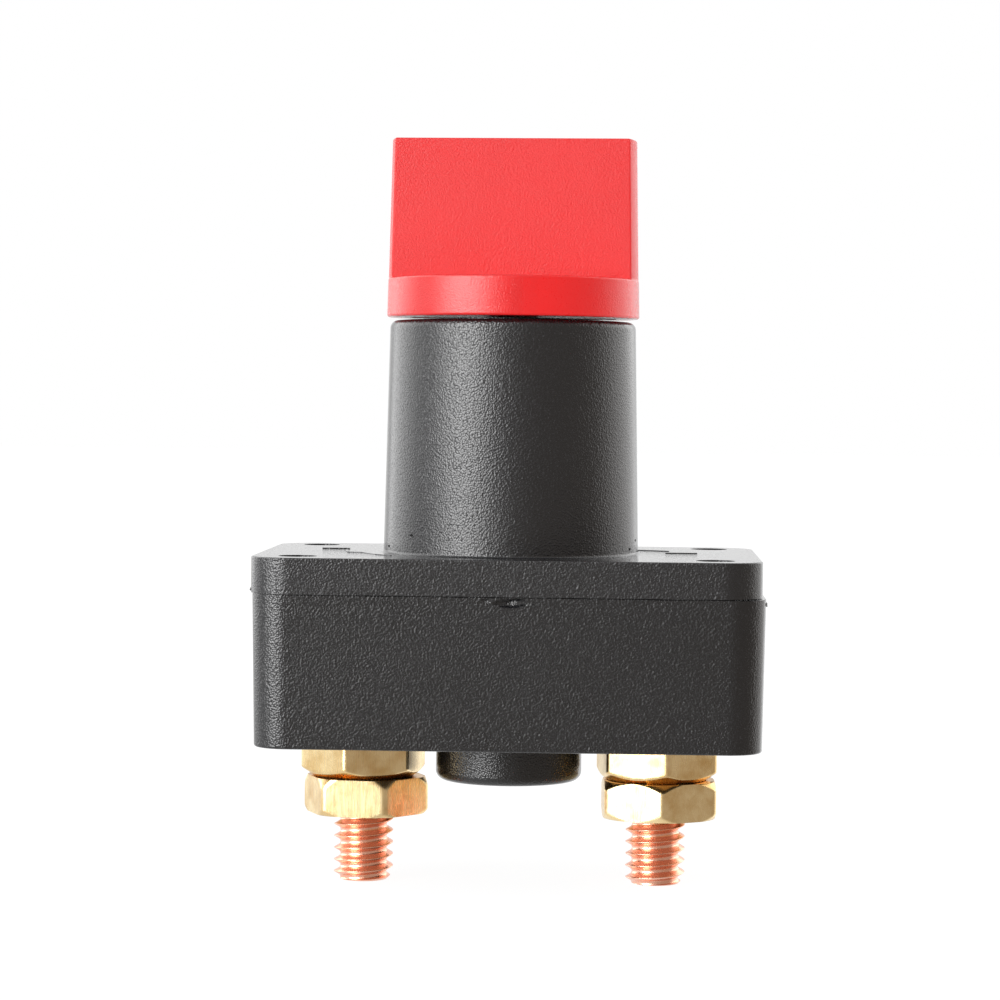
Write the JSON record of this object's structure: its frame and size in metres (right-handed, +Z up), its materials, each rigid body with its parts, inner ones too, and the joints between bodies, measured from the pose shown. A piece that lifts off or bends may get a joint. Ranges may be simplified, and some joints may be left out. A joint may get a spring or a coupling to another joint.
{
  "type": "battery disconnect switch",
  "caption": "Panel-mounted battery disconnect switch with a red quarter-turn knob on a tall neck, a black moulded housing and threaded copper studs with brass nuts.",
  "frame": {"origin": "on the axis of the neck and knob, at the level of the tips of the terminal studs", "axes": "+Z up the neck towards the knob, +X along the line from the left to the right stud, -Y the front"},
  "size_m": [0.0528, 0.036, 0.0791],
  "materials": {
    "red_plastic": "moulded, semi-gloss",
    "black_plastic": "moulded, fine spark-eroded grain",
    "white_plastic": "moulded, natural",
    "copper": "rolled thread, bright copper",
    "brass": "turned and milled, slightly tarnished",
    "steel": "zinc plated",
    "zinc": "die cast",
    "rubber": "moulded"
  },
  "bodies": {
    "housing": {"upper_housing": "black_plastic", "lower_housing": "black_plastic", "left_stud": "copper", "right_stud": "copper", "left_stud_seal": "rubber", "right_stud_seal": "rubber", "left_jam_nut": "brass", "right_jam_nut": "brass", "left_terminal_nut": "brass", "right_terminal_nut": "brass", "thrust_washer": "steel", "return_spring": "steel"},
    "knob": {"knob": "red_plastic", "spindle": "zinc", "shaft_seal": "rubber", "knob_screw": "steel"},
    "plunger": {"plunger": "white_plastic", "contact_bridge": "copper", "contact_spring": "steel", "spring_seat": "steel", "stem_clip": "steel"}
  },
  "joints": [
    {"name": "knob_turn", "type": "hinge", "parent": "housing", "child": "knob", "pos_m": [0, 0, 0.06035], "axis": [0, 0, -1], "range_deg": [0, 90]},
    {"name": "plunger_slide", "type": "slide", "parent": "housing", "child": "plunger", "axis": [0, 0, -1], "range_m": [0, 0.003], "deforming": ["return_spring"]}
  ],
  "couplings": [
    {"joint": "plunger_slide", "follows": "knob_turn", "m_per_rad": 0.0019098}
  ]
}
